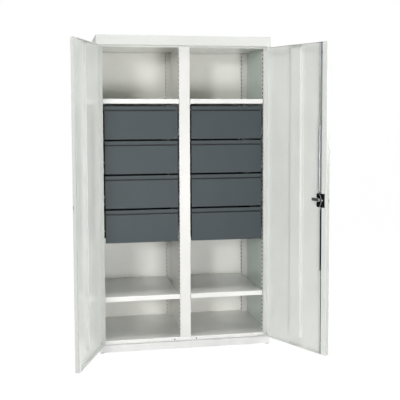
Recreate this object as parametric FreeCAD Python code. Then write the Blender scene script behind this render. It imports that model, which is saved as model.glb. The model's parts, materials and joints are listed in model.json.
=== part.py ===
import FreeCAD, Part
import math
import os

# A two-door steel storage cupboard. A centre partition makes two bays. Each bay has an upper shelf,
# a stack of drawers on runners, a lower shelf and open compartments. The right door carries a twist
# handle that drives two lock rods and a side bolt.
# X runs to the right, Y runs from the doors to the back, Z runs up. The origin is on the floor, under
# the middle of the carcass. The doors stand open at rest.

os.makedirs("parts", exist_ok=True)

# Carcass
cabinet_width = 1020.0
cabinet_depth = 590.0
cabinet_height = 1830.0
body_gauge = 1.2
glide_height = 3.0
glide_radius = 15.0
foot_hole_radius = 4.5
plinth_height = 41.0
cap_height = 56.0
front_recess = 31.0
rim_lip = 22.0
fold_radius = 2.0
header_drop = 9.0
header_leg = 20.0
floor_rise = 18.0
ceiling_setback = 22.0

# Slotted posts
post_width = 36.0
centre_post_width = 62.0
post_gauge = 1.5
front_post_depth = 40.0
rear_post_depth = 46.0
slot_pitch = 25.0
slot_width = 18.0
slot_height = 11.0
slot_start = 79.5
slot_top_margin = 12.0
front_slot_inset = 18.0
rear_slot_inset = 19.0

# Shelves and their clips
shelf_height = 27.0
shelf_gauge = 1.2
shelf_rear_gap = 17.0
shelf_side_gap = 2.5
upper_shelf_slot_count = 55
lower_shelf_slot_count = 9
clip_gauge = 1.5
clip_width = 14.0
clip_hook_rise = 12.5
clip_hook_height = 8.0
clip_ledge = 9.5
clip_tooth_drop = 5.0
clip_tooth = 2.0

# Drawers
drawer_count = 4
slots_per_drawer = 8
front_setback = 2.0
drawer_gap = 10.0
stack_drop = 6.0
drawer_side_gap = 9.5
drawer_front_gauge = 1.2
drawer_front_depth = 24.0
grip_height = 20.0
grip_hem = 4.0
groove_height = 7.0
groove_depth = 14.0
drawer_edge_radius = 1.0
tray_rear_gap = 32.0
tray_height = 150.0
tray_rise = 14.0
tray_gauge = 1.2

# Drawer runners
runner_rear_gap = 22.0
runner_height = 40.0
runner_thickness = 12.4
runner_gauge = 1.2
runner_rise = 26.0
runner_setback = 27.0

# Doors
door_thickness = 26.0
door_gauge = 1.2
door_side_margin = 2.0
door_meeting_gap = 3.0
door_top_gap = 6.0
door_bottom_gap = 4.0
left_lip = 25.0
right_lip = 34.0
hinge_inset = 14.0
hinge_depth = 7.0
hinge_pin_radius = 4.0
hinge_pin_engagement = 10.0
hinge_pin_tail = 14.0
hinge_washer_radius = 6.5
left_open_angle = 109.0
right_open_angle = 116.0

# Door stiffeners and the strip over the meeting gap
stiffener_width = 80.0
stiffener_depth = 15.0
stiffener_flange = 12.0
stiffener_gauge = 1.2
stiffener_foot_gap = 52.0
stiffener_head_gap = 14.0
strip_width = 34.0
strip_overlap = 14.0
strip_gauge = 1.2

# Lock
lock_backset = 54.5
lock_height = 905.0
lock_case_height = 76.0
lock_case_hinge_side = 21.5
lock_case_lead_side = 43.0
lock_case_depth = 24.5
lock_case_gauge = 1.6
lock_case_radius = 8.0
lock_case_notch = 11.0
lock_case_notch_height = 20.0
cam_radius = 12.75
cam_rim = 4.5
cam_gauge = 3.0
cam_depth = 7.0
cam_pin_radius = 2.5
cam_pin_reach = 4.5
spindle_radius = 3.5
spindle_socket = 14.0
yoke_play = 0.6
yoke_wall = 3.0
rod_width = 15.0
rod_gauge = 3.0
rod_cam_gap = 0.6
rod_tip_setback = 1.0
rod_hole_play = 1.0
keeper_play = 3.0
rod_guide_gauge = 2.0
rod_guide_margin = 5.0
rod_guide_inset = 60.0
bolt_gauge = 3.0
bolt_depth = 3.0
bolt_height = 17.0
bolt_tail = 55.0
bolt_tail_radius = 6.0
bolt_tip_setback = 2.0
bolt_hole_play = 0.6

# Twist handle
escutcheon_radius = 26.0
escutcheon_thickness = 6.0
escutcheon_round = 2.0
handle_length = 90.0
handle_width = 18.0
handle_thickness = 13.0
handle_standoff = 18.0
handle_hub_radius = 13.0
handle_round = 3.5
key_radius = 6.0
key_length = 15.0
key_proud = 1.0
key_slit_width = 1.4
key_slit_length = 8.0
key_slit_depth = 5.0

# Fixings
screw_radius = 3.0
screw_head_radius = 5.5
screw_head_height = 3.5
screw_nut_height = 4.0
screw_spread = 180.0
screw_inset = 12.0
wall_hole_radius = 4.5
wall_hole_span = 800.0
wall_hole_rise = 720.0
wall_hole_foot = 680.0
buffer_radius = 4.0
buffer_spread = 65.0
buffer_rise = 2.0

# Fits, and the overrun of every cut
seat_gap = 0.3
running_clearance = 0.05
slide_clearance = 0.4
overrun = 5.0

# Levels and planes worked out from the sizes above
LEFT = -1
RIGHT = 1
half_width = cabinet_width / 2
front_y = -cabinet_depth / 2
back_y = cabinet_depth / 2
plinth_top = glide_height + plinth_height
cap_bottom = cabinet_height - cap_height
jamb_y = front_y + front_recess
floor_top = plinth_top + floor_rise
side_flange_top = plinth_top + seat_gap + body_gauge
side_flange_bottom = cap_bottom - seat_gap - body_gauge
post_bottom = floor_top + seat_gap
post_top = side_flange_bottom - seat_gap
slot_count = 1 + math.floor((post_top - slot_top_margin - slot_start) / slot_pitch)
rear_post_y = back_y - body_gauge - seat_gap - rear_post_depth
bay_width = half_width - post_width - centre_post_width / 2
bay_centre = centre_post_width / 2 + bay_width / 2
shelf_front_y = jamb_y + front_setback
upper_shelf_z = slot_start + upper_shelf_slot_count * slot_pitch - clip_hook_rise
lower_shelf_z = slot_start + lower_shelf_slot_count * slot_pitch - clip_hook_rise
drawer_pitch = slots_per_drawer * slot_pitch
drawer_front_height = drawer_pitch - drawer_gap
drawer_front_width = bay_width - 2 * drawer_side_gap
front_slot_y = jamb_y + front_slot_inset
rear_slot_y = rear_post_y + rear_slot_inset

door_bottom = plinth_top + door_bottom_gap
door_top = cap_bottom - door_top_gap
door_edge = half_width - door_meeting_gap / 2
lock_inset = door_edge - lock_backset
hinge_y = front_y + hinge_depth
rod_travel = cam_radius * math.sqrt(2)
rod_offset = cam_radius * (1 + math.sqrt(0.5)) / 2
rod_depth = cam_depth + cam_gauge + rod_cam_gap
yoke_half_slot = cam_pin_radius + yoke_play
cam_pin_rest = cam_radius * math.sqrt(0.5)


def block(x, y, z):
    """A box between two corners; each range may be given either way round."""
    x0, x1 = sorted(x)
    y0, y1 = sorted(y)
    z0, z1 = sorted(z)
    return Part.makeBox(x1 - x0, y1 - y0, z1 - z0, FreeCAD.Vector(x0, y0, z0))


def rod_z(x, y, radius, z):
    """An upright round bar."""
    z0, z1 = sorted(z)
    return Part.makeCylinder(radius, z1 - z0, FreeCAD.Vector(x, y, z0))


def rod_y(x, z, radius, y):
    """A round bar along the depth."""
    y0, y1 = sorted(y)
    return Part.makeCylinder(radius, y1 - y0, FreeCAD.Vector(x, y0, z), FreeCAD.Vector(0, 1, 0))


def joined(shapes):
    """One clean solid from shapes that meet."""
    first, rest = shapes[0], shapes[1:]
    return first.fuse(rest).removeSplitter()


def edges_where(shape, test):
    """The straight or round edges whose middle passes the test."""
    picked = []
    for edge in shape.Edges:
        middle = edge.valueAt((edge.FirstParameter + edge.LastParameter) / 2)
        if test(middle):
            picked.append(edge)
    return picked


def rounded(shape, radius, test):
    """The shape with the picked edges rounded."""
    return shape.makeFillet(radius, edges_where(shape, test))


def is_at(value, place):
    """Whether a coordinate lies on a plane, within a small share of the sheet."""
    near_share = 0.01
    return abs(value - place) < body_gauge * near_share


def slotted_plate(x, y, z, slot_y):
    """An upright plate, thin along X, with the column of slots cut at one depth."""
    x0, x1 = sorted(x)
    y0, y1 = sorted(y)
    z0, z1 = sorted(z)
    corners = [(y0, z0), (y1, z0), (y1, z1), (y0, z1)]
    wires = [Part.makePolygon([FreeCAD.Vector(x0, a, b) for a, b in corners + corners[:1]])]
    for step in range(slot_count):
        middle = slot_start + step * slot_pitch
        a0, a1 = slot_y - slot_width / 2, slot_y + slot_width / 2
        b0, b1 = middle - slot_height / 2, middle + slot_height / 2
        corners = [(a0, b0), (a1, b0), (a1, b1), (a0, b1)]
        wires.append(Part.makePolygon([FreeCAD.Vector(x0, a, b) for a, b in corners + corners[:1]]))
    face = Part.makeFace(wires, "Part::FaceMakerBullseye")
    return face.extrude(FreeCAD.Vector(x1 - x0, 0, 0))


# Carcass sheets


def top_cap():
    """A shallow pan, open below, with lips turned in along its lower rim."""
    outer = block((-half_width, half_width), (front_y, back_y), (cap_bottom, cabinet_height))
    corner = rounded(outer, fold_radius, lambda p: is_at(p.z, cabinet_height) or (
        is_at(abs(p.x), half_width) and is_at(abs(p.y), back_y)))
    inner = block(
        (-half_width + body_gauge, half_width - body_gauge),
        (front_y + body_gauge, back_y - body_gauge),
        (cap_bottom + body_gauge, cabinet_height - body_gauge))
    mouth = block(
        (-half_width + rim_lip, half_width - rim_lip),
        (jamb_y, back_y - rim_lip),
        (cap_bottom - overrun, cap_bottom + body_gauge + overrun))
    holes = lip_holes((cap_bottom - overrun, cap_bottom + body_gauge + overrun))
    return corner.cut([inner, mouth] + holes)


def base_plinth():
    """The low frame that stands on the glides, with lips turned in above and below."""
    outer = block((-half_width, half_width), (front_y, back_y), (glide_height, plinth_top))
    corner = rounded(
        outer, fold_radius, lambda p: is_at(abs(p.x), half_width) and is_at(abs(p.y), back_y))
    inner = block(
        (-half_width + body_gauge, half_width - body_gauge),
        (front_y + body_gauge, back_y - body_gauge),
        (glide_height + body_gauge, plinth_top - body_gauge))
    mouth = block(
        (-half_width + rim_lip, half_width - rim_lip),
        (jamb_y, back_y - rim_lip),
        (plinth_top - body_gauge - overrun, plinth_top + overrun))
    foot_lip = 2 * glide_radius
    underside = block(
        (-half_width + foot_lip, half_width - foot_lip),
        (front_y + foot_lip, back_y - foot_lip),
        (glide_height - overrun, glide_height + body_gauge + overrun))
    holes = lip_holes((plinth_top - body_gauge - overrun, plinth_top + overrun))
    foot_z = (glide_height - overrun, glide_height + body_gauge + overrun)
    holes += [rod_z(x, y, foot_hole_radius, foot_z) for x, y in glide_places()]
    return corner.cut([inner, mouth, underside] + holes)


def lip_holes(z):
    """The holes through a front lip for hinge pins and a lock rod, and through side lips for screws."""
    cuts = []
    for side in (LEFT, RIGHT):
        x = side * (half_width - hinge_inset)
        cuts.append(rod_z(x, hinge_y, hinge_pin_radius + running_clearance, z))
    rod_side = LEFT if z[0] > lock_height else RIGHT
    u = lock_inset + rod_side * rod_offset
    keeper_x = half_width - u
    cuts.append(block(
        (keeper_x - rod_width / 2 - keeper_play, keeper_x + rod_width / 2 + keeper_play),
        (front_y + rod_depth - keeper_play, front_y + rod_depth + rod_gauge + keeper_play),
        z))
    for x, y in screw_places():
        cuts.append(rod_z(x, y, screw_radius + running_clearance, z))
    return cuts


def screw_places():
    """Where the screws join the side panels to the cap and the plinth."""
    x = half_width - screw_inset
    return [(side * x, y) for side in (LEFT, RIGHT) for y in (-screw_spread, screw_spread)]


def ceiling_panel():
    """A flat sheet that lies on the lips of the cap."""
    inset = body_gauge + seat_gap
    z = cap_bottom + body_gauge + seat_gap
    sheet = block(
        (-half_width + rim_lip - ceiling_lap(), half_width - rim_lip + ceiling_lap()),
        (front_y + ceiling_setback, back_y - inset),
        (z, z + body_gauge))
    return sheet


def ceiling_lap():
    """How far the ceiling sheet lies on a side lip, clear of the screws."""
    return rim_lip - screw_inset - screw_head_radius - body_gauge


def header_rails():
    """An angle above the opening of each bay, level with the faces of the posts."""
    rails = []
    for side in (LEFT, RIGHT):
        x = (side * (centre_post_width / 2 + seat_gap), side * (half_width - post_width - seat_gap))
        top = cap_bottom - seat_gap
        face = block(x, (jamb_y, jamb_y + body_gauge), (cap_bottom - header_drop, top))
        leg = block(x, (jamb_y, jamb_y + header_leg), (top - body_gauge, top))
        rails.append(joined([face, leg]))
    return Part.makeCompound(rails)


def floor_panel():
    """A shallow pan, open below, that forms the floor of both bays."""
    inset = body_gauge + seat_gap
    x = (-half_width + inset, half_width - inset)
    y = (jamb_y, back_y - inset)
    z = (side_flange_top + seat_gap, floor_top)
    outer = rounded(block(x, y, z), fold_radius, lambda p: is_at(p.z, floor_top) and is_at(p.y, jamb_y))
    inner = block(
        (x[0] + body_gauge, x[1] - body_gauge),
        (y[0] + body_gauge, y[1] - body_gauge),
        (z[0] - overrun, floor_top - body_gauge))
    return outer.cut(inner)


def side_panel(side):
    """An outer sheet with flanges turned in at the top and the bottom, drilled for the screws."""
    outer_x = side * half_width
    inner_x = side * (half_width - body_gauge)
    z = (plinth_top + seat_gap, cap_bottom - seat_gap)
    sheet = block((outer_x, inner_x), (jamb_y, back_y), z)
    flange_x = (outer_x, side * (half_width - rim_lip))
    flange_y = (jamb_y + front_post_depth, rear_post_y)
    lower = block(flange_x, flange_y, (z[0], side_flange_top))
    upper = block(flange_x, flange_y, (side_flange_bottom, z[1]))
    panel = joined([sheet, lower, upper])
    screw_hole = screw_radius + running_clearance
    holes = [rod_z(x, y, screw_hole, (0, cabinet_height)) for x, y in screw_places()]
    return panel.cut(holes)


def back_panel():
    """A flat sheet between the side panels, with holes for fixing the cupboard to a wall."""
    inset = body_gauge + seat_gap
    sheet = block(
        (-half_width + inset, half_width - inset),
        (back_y - body_gauge, back_y),
        (plinth_top + seat_gap, cap_bottom - seat_gap))
    through = (back_y - body_gauge - overrun, back_y + overrun)
    holes = []
    for x in (-wall_hole_span / 2, wall_hole_span / 2):
        for z in (wall_hole_foot, wall_hole_foot + wall_hole_rise):
            holes.append(rod_y(x, z, wall_hole_radius, through))
    return sheet.cut(holes)


def centre_partition():
    """The wall between the bays, from the front post to the rear post."""
    return block(
        (-body_gauge / 2, body_gauge / 2),
        (jamb_y + post_gauge + seat_gap, rear_post_y - seat_gap),
        (post_bottom, post_top))


def post(x, y, depth, slot_y, slotted):
    """An upright channel, open to the rear, with slots in the cheeks that face a bay."""
    x0, x1 = sorted(x)
    z = (post_bottom, post_top)
    shapes = [block((x0, x1), (y, y + post_gauge), z)]
    for cheek_x, has_slots in (((x0, x0 + post_gauge), slotted[0]), ((x1 - post_gauge, x1), slotted[1])):
        if has_slots:
            shapes.append(slotted_plate(cheek_x, (y, y + depth), z, slot_y))
        else:
            shapes.append(block(cheek_x, (y, y + depth), z))
    return joined(shapes)


def side_post_x(side):
    """The width that a side post takes, from the side panel to the bay."""
    return (side * (half_width - body_gauge - seat_gap), side * (half_width - post_width))


def front_side_post(side):
    """The post beside the opening; its slots face the bay."""
    slotted = (side == RIGHT, side == LEFT)
    return post(side_post_x(side), jamb_y, front_post_depth, front_slot_y, slotted)


def rear_side_post(side):
    """The post in a rear corner; its slots face the bay."""
    slotted = (side == RIGHT, side == LEFT)
    return post(side_post_x(side), rear_post_y, rear_post_depth, rear_slot_y, slotted)


def front_centre_post():
    """The wide post between the bays, with slots towards both."""
    x = (-centre_post_width / 2, centre_post_width / 2)
    return post(x, jamb_y, front_post_depth, front_slot_y, (True, True))


def rear_centre_post():
    """The wide post at the back, with slots towards both bays."""
    x = (-centre_post_width / 2, centre_post_width / 2)
    return post(x, rear_post_y, rear_post_depth, rear_slot_y, (True, True))


# Shelves


def shelf(bay, z):
    """A sheet folded down on all four sides."""
    centre = bay * bay_centre
    half = bay_width / 2 - shelf_side_gap
    top = z + shelf_height
    y = (shelf_front_y, back_y - shelf_rear_gap)
    outer = rounded(
        block((centre - half, centre + half), y, (z, top)), fold_radius,
        lambda p: is_at(p.z, top) or (is_at(p.y, y[0]) and is_at(abs(p.x - centre), half)))
    inner = block(
        (centre - half + shelf_gauge, centre + half - shelf_gauge),
        (y[0] + shelf_gauge, y[1] - shelf_gauge),
        (z - overrun, top - shelf_gauge))
    return outer.cut(inner)


def shelf_clip(face_x, inward, slot_y, z):
    """A clip hooked into one slot, with a ledge under the shelf."""
    y = (slot_y - clip_width / 2, slot_y + clip_width / 2)
    plate_x = face_x + inward * seat_gap
    ledge_top = z - seat_gap
    hook = z + clip_hook_rise
    hook_z = (hook - clip_hook_height / 2, hook + clip_hook_height / 2)
    behind_x = face_x - inward * (post_gauge + seat_gap)
    tooth_x = behind_x - inward * clip_tooth
    plate = block((plate_x, plate_x + inward * clip_gauge), y, (ledge_top - clip_gauge, hook_z[1]))
    ledge = block((plate_x, plate_x + inward * clip_ledge), y, (ledge_top - clip_gauge, ledge_top))
    neck = block((tooth_x, plate_x), y, hook_z)
    tooth = block((tooth_x, behind_x), y, (hook_z[0] - clip_tooth_drop, hook_z[1]))
    return joined([plate, ledge, neck, tooth])


def shelf_clips():
    """Four clips for each shelf."""
    clips = []
    for bay in (LEFT, RIGHT):
        for hand in (LEFT, RIGHT):
            face_x = bay * bay_centre + hand * bay_width / 2
            for slot_y in (front_slot_y, rear_slot_y):
                for z in (upper_shelf_z, lower_shelf_z):
                    clips.append(shelf_clip(face_x, -hand, slot_y, z))
    return Part.makeCompound(clips)


# Drawers and runners


def drawer_foot(number):
    """The lowest level of a drawer's front; drawer 1 is the top one."""
    return upper_shelf_z - stack_drop - number * drawer_pitch


def drawer_front(bay, number):
    """A folded front: a flat face, and above it a finger groove under a grip strip."""
    centre = bay * bay_centre
    x = (centre - drawer_front_width / 2, centre + drawer_front_width / 2)
    foot = drawer_foot(number)
    top = foot + drawer_front_height
    groove_top = top - grip_height
    groove_foot = groove_top - groove_height
    wall_y = shelf_front_y + groove_depth
    back = shelf_front_y + drawer_front_depth
    face = rounded(
        block(x, (shelf_front_y, back), (foot, groove_foot)), drawer_edge_radius,
        lambda p: is_at(p.y, shelf_front_y))
    hollow = block(
        (x[0] + drawer_front_gauge, x[1] - drawer_front_gauge),
        (shelf_front_y + drawer_front_gauge, back + overrun),
        (foot + drawer_front_gauge, groove_foot - drawer_front_gauge))
    wall = block(x, (wall_y, wall_y + drawer_front_gauge), (groove_foot - drawer_front_gauge, top))
    grip = rounded(
        block(x, (shelf_front_y, wall_y + drawer_front_gauge), (groove_top, top)), drawer_edge_radius,
        lambda p: is_at(p.y, shelf_front_y) and not is_at(abs(p.x - centre), drawer_front_width / 2))
    pocket = block(
        (x[0] - overrun, x[1] + overrun),
        (shelf_front_y + drawer_front_gauge, wall_y),
        (groove_top - overrun, top - drawer_front_gauge))
    hem = block(
        x, (shelf_front_y + drawer_front_gauge / 2, shelf_front_y + grip_hem),
        (groove_top, groove_top + drawer_front_gauge))
    return joined([face.cut(hollow), wall, grip.cut(pocket), hem])


def tray_x(bay):
    """The outer sides of a drawer's tray, between its runners."""
    half = bay_width / 2 - 2 * seat_gap - runner_thickness
    return (bay * bay_centre - half, bay * bay_centre + half)


def drawer_tray(bay, number):
    """An open steel tray behind the front."""
    x = tray_x(bay)
    front = shelf_front_y + drawer_front_depth + seat_gap
    y = (front, back_y - tray_rear_gap)
    z0 = drawer_foot(number) + tray_rise
    outer = block(x, y, (z0, z0 + tray_height))
    inner = block(
        (x[0] + tray_gauge, x[1] - tray_gauge),
        (y[0] + tray_gauge, y[1] - tray_gauge),
        (z0 + tray_gauge, z0 + tray_height + overrun))
    tray = outer.cut(inner)
    return Part.makeCompound([tray] + [slide_member(bay, number, hand) for hand in (LEFT, RIGHT)])


def runner_y():
    """How deep the runners reach."""
    return (jamb_y + runner_setback, back_y - runner_rear_gap)


def runner_channel(web_x, toward, reach, half_height, middle_z):
    """A channel along the depth: a web and two flanges."""
    y = runner_y()
    foot, head = middle_z - half_height, middle_z + half_height
    web = block((web_x, web_x + toward * runner_gauge), y, (foot, head))
    upper = block((web_x, web_x + toward * reach), y, (head - runner_gauge, head))
    lower = block((web_x, web_x + toward * reach), y, (foot, foot + runner_gauge))
    return joined([web, upper, lower])


def runner_member(bay, number, hand):
    """The fixed channel on the posts."""
    face_x = bay * bay_centre + hand * (bay_width / 2 - seat_gap)
    middle_z = drawer_foot(number) + runner_rise + runner_height / 2
    reach = runner_thickness - runner_gauge - slide_clearance
    return runner_channel(face_x, -hand, reach, runner_height / 2, middle_z)


def slide_member(bay, number, hand):
    """The moving channel on the tray, nested in the fixed one."""
    face_x = bay * bay_centre + hand * (bay_width / 2 - seat_gap - runner_thickness)
    middle_z = drawer_foot(number) + runner_rise + runner_height / 2
    reach = runner_thickness - runner_gauge - slide_clearance
    half_height = runner_height / 2 - runner_gauge - slide_clearance
    return runner_channel(face_x, hand, reach, half_height, middle_z)


def runners(bay):
    """The fixed channels of one bay, a pair for each drawer."""
    numbers = range(1, drawer_count + 1)
    return Part.makeCompound([runner_member(bay, n, hand) for n in numbers for hand in (LEFT, RIGHT)])


# Doors, modelled shut and then swung open


def door_x(side, u):
    """The place across the cupboard of a distance from a door's own outer side."""
    return side * (half_width - u)


def door_block(side, u, w, z):
    """A box on a door: u from the outer side, w behind the door's outer face."""
    return block((door_x(side, u[0]), door_x(side, u[1])), (front_y + w[0], front_y + w[1]), z)


def door_pin(side, u, z, radius, w):
    """A round bar through a door."""
    return rod_y(door_x(side, u), z, radius, (front_y + w[0], front_y + w[1]))


def swung(shape, side):
    """The shape turned about a door's hinge line to where the door rests."""
    angle = right_open_angle if side == RIGHT else -left_open_angle
    turned = shape.copy()
    pivot = FreeCAD.Vector(door_x(side, hinge_inset), hinge_y, 0)
    turned.rotate(pivot, FreeCAD.Vector(0, 0, 1), angle)
    return turned


def door_panel(side):
    """A pan with four returns, a lip at the meeting edge, and holes for pins, rods, bolt and spindle."""
    lip = right_lip if side == RIGHT else left_lip
    z = (door_bottom, door_top)
    lead_x = door_x(side, door_edge)
    inner_y = front_y + door_thickness
    outer = rounded(
        door_block(side, (door_side_margin, door_edge), (0, door_thickness), z), fold_radius,
        lambda p: is_at(p.y, front_y) or (is_at(p.x, lead_x) and is_at(p.y, inner_y)))
    inside_z = (door_bottom + door_gauge, door_top - door_gauge)
    mouth = door_block(
        side, (door_side_margin + door_gauge, door_edge - lip),
        (door_gauge, door_thickness + overrun), inside_z)
    under_lip = door_block(
        side, (door_side_margin + door_gauge, door_edge - door_gauge),
        (door_gauge, door_thickness - door_gauge), inside_z)
    pan = outer.cut([mouth, under_lip])
    through = (door_bottom - overrun, door_bottom + overrun), (door_top - overrun, door_top + overrun)
    pin_hole = hinge_pin_radius + running_clearance
    cuts = [rod_z(door_x(side, hinge_inset), hinge_y, pin_hole, z) for z in through]
    cuts.append(door_block(
        side, (door_edge - door_gauge - overrun, door_edge + overrun),
        (bolt_depth - bolt_hole_play, bolt_depth + bolt_gauge + bolt_hole_play), bolt_window()))
    if side == RIGHT:
        for level, z_cut in ((LEFT, through[1]), (RIGHT, through[0])):
            middle = lock_inset + level * rod_offset
            cuts.append(door_block(
                side, (middle - rod_width / 2 - rod_hole_play, middle + rod_width / 2 + rod_hole_play),
                (rod_depth - rod_hole_play, rod_depth + rod_gauge + rod_hole_play), z_cut))
        spindle_hole = spindle_radius + bolt_hole_play
        cuts.append(door_pin(side, lock_inset, lock_height, spindle_hole, (-overrun, overrun)))
        case_half = lock_case_height / 2 + seat_gap
        cuts.append(door_block(
            side, (door_edge - lip - overrun, lock_inset + lock_case_lead_side + seat_gap),
            (door_thickness - door_gauge - overrun, door_thickness + overrun),
            (lock_height - case_half, lock_height + case_half)))
    return swung(pan.cut(cuts), side)


def door_stiffener(side):
    """A hat section spot-welded up the middle of a door's inner face."""
    middle = (door_side_margin + door_edge) / 2
    base = door_gauge + seat_gap
    z = (door_bottom + stiffener_foot_gap, door_top - stiffener_head_gap)
    half = stiffener_width / 2
    crown = door_block(side, (middle - half, middle + half), (base, base + stiffener_depth), z)
    crown = rounded(crown, fold_radius, lambda p: is_at(p.y, front_y + base + stiffener_depth) and not (
        is_at(p.z, z[0]) or is_at(p.z, z[1])))
    inside = door_block(
        side, (middle - half + stiffener_gauge, middle + half - stiffener_gauge),
        (base - overrun, base + stiffener_depth - stiffener_gauge), (z[0] - overrun, z[1] + overrun))
    reach = half + stiffener_flange
    flanges = [door_block(side, (middle + hand * (half - stiffener_gauge), middle + hand * reach),
                          (base, base + stiffener_gauge), z) for hand in (LEFT, RIGHT)]
    return swung(joined([crown.cut(inside)] + flanges), side)


def hinge_pins(side):
    """The pins on which a door turns, through its top and bottom returns into the cap and the plinth."""
    x = door_x(side, hinge_inset)
    lower_z = (plinth_top - hinge_pin_engagement, door_bottom + hinge_pin_tail)
    upper_z = (door_top - hinge_pin_tail, cap_bottom + hinge_pin_engagement)
    lower = rod_z(x, hinge_y, hinge_pin_radius, lower_z)
    upper = rod_z(x, hinge_y, hinge_pin_radius, upper_z)
    return swung(Part.makeCompound([lower, upper]), side)


def hinge_washers():
    """The washers on which the doors stand, and those above them."""
    washers = []
    for side in (LEFT, RIGHT):
        for z in ((plinth_top, door_bottom - seat_gap), (door_top + seat_gap, cap_bottom)):
            x = door_x(side, hinge_inset)
            ring = rod_z(x, hinge_y, hinge_washer_radius, z)
            washers.append(ring.cut(rod_z(x, hinge_y, hinge_pin_radius + running_clearance, z)))
    return Part.makeCompound(washers)


def closing_strip():
    """A strip on the left door that covers the gap between the doors from inside."""
    edge = door_edge + strip_overlap
    w = door_thickness + seat_gap
    strip = door_block(LEFT, (edge - strip_width, edge), (w, w + strip_gauge), (
        door_bottom + door_gauge, door_top - door_gauge))
    return swung(strip, LEFT)


# Lock: the spindle carries a cam with three pins, which drive the rods and the bolt


def lock_case():
    """A cover over the cam, open above and below for the rods and notched for the bolt's tail."""
    u = (lock_inset - lock_case_hinge_side, lock_inset + lock_case_lead_side)
    w = (door_gauge + seat_gap, lock_case_depth)
    z = (lock_height - lock_case_height / 2, lock_height + lock_case_height / 2)
    hinge_x = door_x(RIGHT, u[0])
    outer = rounded(
        door_block(RIGHT, u, w, z), lock_case_radius,
        lambda p: is_at(abs(p.z - lock_height), lock_case_height / 2) and is_at(p.x, hinge_x))
    outer = rounded(outer, fold_radius, lambda p: is_at(p.y, front_y + w[1]))
    hollow = door_block(
        RIGHT, (u[0] + lock_case_gauge, u[1] - lock_case_gauge),
        (w[0] - overrun, w[1] - lock_case_gauge),
        (z[0] - overrun, z[1] + overrun))
    notch = door_block(
        RIGHT, (u[0] - overrun, u[0] + lock_case_notch), (w[0] - overrun, w[1] + overrun),
        (lock_height - lock_case_notch_height / 2, lock_height + lock_case_notch_height / 2))
    slot = door_block(
        RIGHT, (lock_inset, u[1] + overrun), (w[0] - overrun, bolt_depth + bolt_gauge + bolt_hole_play),
        bolt_window())
    return swung(outer.cut([hollow, notch, slot]), RIGHT)


def bolt_window():
    """The heights between which the bolt passes, with its play."""
    half = bolt_height / 2 + bolt_hole_play
    return (lock_height - half, lock_height + half)


def lock_cam():
    """The spindle, its disc, and the pins that drive the upper rod, the lower rod and the bolt."""
    top = cam_depth + cam_gauge
    spindle = door_pin(RIGHT, lock_inset, lock_height, spindle_radius, (
        -escutcheon_thickness - spindle_socket, top))
    disc = door_pin(RIGHT, lock_inset, lock_height, cam_radius + cam_rim, (cam_depth, top))
    upper = door_pin(RIGHT, lock_inset - cam_pin_rest, lock_height - cam_pin_rest, cam_pin_radius, (
        cam_depth, top + cam_pin_reach))
    lower = door_pin(RIGHT, lock_inset + cam_pin_rest, lock_height + cam_pin_rest, cam_pin_radius, (
        cam_depth, top + cam_pin_reach))
    side = door_pin(RIGHT, lock_inset - cam_pin_rest, lock_height + cam_pin_rest, cam_pin_radius, (
        cam_depth - cam_pin_reach, top))
    return swung(joined([spindle, disc, upper, lower, side]), RIGHT)


def yoke_slot(u, z, w, along_u):
    """The cut in which a cam pin slides: long one way and close the other."""
    low = cam_pin_rest - yoke_half_slot
    high = cam_radius + yoke_half_slot
    if along_u:
        hand = LEFT if u < lock_inset else RIGHT
        u_range = (lock_inset + hand * low, lock_inset + hand * high)
        return door_block(RIGHT, u_range, w, (z - yoke_half_slot, z + yoke_half_slot))
    u_range = (u - yoke_half_slot, u + yoke_half_slot)
    return door_block(RIGHT, u_range, w, (lock_height + low, lock_height + high))


def lock_rod(hand):
    """A flat rod with a slotted end at the cam; LEFT is the upper rod, RIGHT the lower one."""
    middle = lock_inset + hand * rod_offset
    eye = lock_height + hand * cam_pin_rest
    w = (rod_depth, rod_depth + rod_gauge)
    half = (cam_radius - cam_pin_rest) / 2 + yoke_half_slot + yoke_wall
    eye_half = yoke_half_slot + yoke_wall
    if hand == LEFT:
        z = (eye, door_top - rod_tip_setback)
    else:
        z = (door_bottom + rod_tip_setback, eye)
    bar = door_block(RIGHT, (middle - rod_width / 2, middle + rod_width / 2), w, z)
    head = door_block(RIGHT, (middle - half, middle + half), w, (eye - eye_half, eye + eye_half))
    rod = joined([bar, head]).cut(yoke_slot(middle, eye, w, True))
    return swung(rod, RIGHT)


def rod_guides():
    """Brackets on the right door that guide the rods near their ends."""
    guides = []
    w = (door_gauge + seat_gap, rod_depth + rod_gauge + rod_guide_margin)
    for hand, z in ((LEFT, door_top - rod_guide_inset), (LEFT, (door_top + lock_height) / 2),
                    (RIGHT, (door_bottom + lock_height) / 2), (RIGHT, door_bottom + rod_guide_inset)):
        middle = lock_inset + hand * rod_offset
        half = rod_width / 2 + rod_guide_margin
        plate = door_block(RIGHT, (middle - half, middle + half), w, (z, z + rod_guide_gauge))
        foot = door_block(RIGHT, (middle - half, middle + half), (w[0], w[0] + rod_guide_gauge), (
            z, z + 2 * rod_guide_margin))
        window = door_block(
            RIGHT, (middle - rod_width / 2 - seat_gap, middle + rod_width / 2 + seat_gap),
            (rod_depth - seat_gap, rod_depth + rod_gauge + seat_gap),
            (z - overrun, z + rod_guide_gauge + overrun))
        guides.append(joined([plate, foot]).cut(window))
    return swung(Part.makeCompound(guides), RIGHT)


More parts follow.
